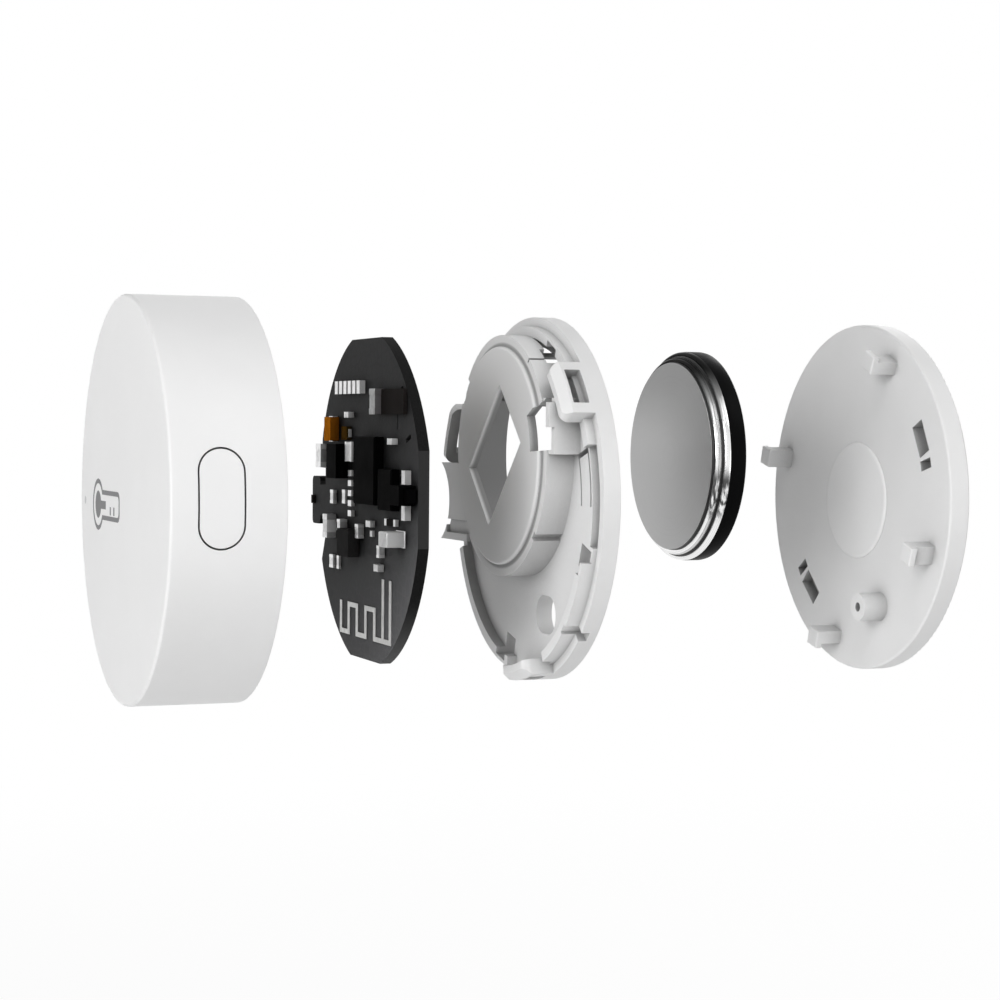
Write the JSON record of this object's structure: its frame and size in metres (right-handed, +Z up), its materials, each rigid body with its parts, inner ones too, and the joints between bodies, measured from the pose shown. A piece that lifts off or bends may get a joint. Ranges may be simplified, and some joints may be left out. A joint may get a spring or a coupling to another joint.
{
  "type": "temperature humidity sensor",
  "caption": "Round wall temperature and humidity sensor, stored exploded: cup shell with side button, circuit board, snap bracket, coin cell and back cover slide together.",
  "frame": {"origin": "centre of the back cover's flat rear face, where it meets the wall", "axes": "+Y points out of the rear face into the wall and the stack opens along -Y, +Z is up, the button faces +X"},
  "size_m": [0.036, 0.0756, 0.036],
  "materials": {
    "shell_white": "fine satin",
    "icon_grey": "printed",
    "pipe_clear": "translucent",
    "cover_plastic": "satin moulded",
    "bracket_plastic": "satin moulded",
    "can_steel": "polished",
    "cap_steel": "satin with polished steps",
    "gasket_black": "smooth",
    "board_mask": "solder mask",
    "track_metal": "tinned",
    "tin": "tinned",
    "ceramic_pale": "ceramic",
    "chip_black": "epoxy",
    "part_dark": "epoxy",
    "tantalum_orange": "moulded",
    "tantalum_brown": "moulded",
    "body_grey": "moulded",
    "contact_metal": "spring strip",
    "lens_white": "moulded"
  },
  "bodies": {
    "cover": {"back_cover": "cover_plastic"},
    "cell": {"cell_can": "can_steel", "cell_gasket": "gasket_black", "cell_cap": "cap_steel"},
    "bracket": {"bracket": "bracket_plastic"},
    "board": {"board": "board_mask", "antenna": "track_metal", "pin_row": "tin", "lead_row": "tin", "small_capacitors": "ceramic_pale", "resistor_body": "part_dark", "resistor_ends": "tin", "controller_chip": "chip_black", "second_chip": "chip_black", "tantalum_capacitor": "tantalum_orange", "small_tantalum": "tantalum_brown", "bulk_capacitor": "body_grey", "filter_block": "part_dark", "film_capacitor": "body_grey", "power_inductor": "chip_black", "rectifier": "part_dark", "edge_capacitor": "body_grey", "crystal": "body_grey", "switch_body": "chip_black", "switch_terminals": "tin", "climate_sensor": "lens_white", "indicator_led": "lens_white", "negative_contact": "contact_metal", "positive_contact": "contact_metal"},
    "switch": {"switch_plunger": "part_dark"},
    "shell": {"front_shell": "shell_white", "front_icon": "icon_grey", "light_pipe": "pipe_clear"},
    "button": {"button_cap": "shell_white"}
  },
  "joints": [
    {"name": "cell_slide", "type": "slide", "parent": "cover", "child": "cell", "axis": [0, 1, 0], "range_m": [0, 0.0171]},
    {"name": "bracket_slide", "type": "slide", "parent": "cell", "child": "bracket", "axis": [0, 1, 0], "range_m": [0, 0.0162]},
    {"name": "board_slide", "type": "slide", "parent": "bracket", "child": "board", "axis": [0, 1, 0], "range_m": [0, 0.0116]},
    {"name": "shell_slide", "type": "slide", "parent": "board", "child": "shell", "axis": [0, 1, 0], "range_m": [0, 0.0192]},
    {"name": "button_press", "type": "slide", "parent": "shell", "child": "button", "axis": [-1, 0, 0], "range_m": [0, 0.00025], "stiffness_N_per_m": 1500},
    {"name": "switch_press", "type": "slide", "parent": "board", "child": "switch", "axis": [-1, 0, 0], "range_m": [0, 0.00025]}
  ],
  "couplings": [
    {"joint": "switch_press", "follows": "button_press", "ratio": 1}
  ]
}
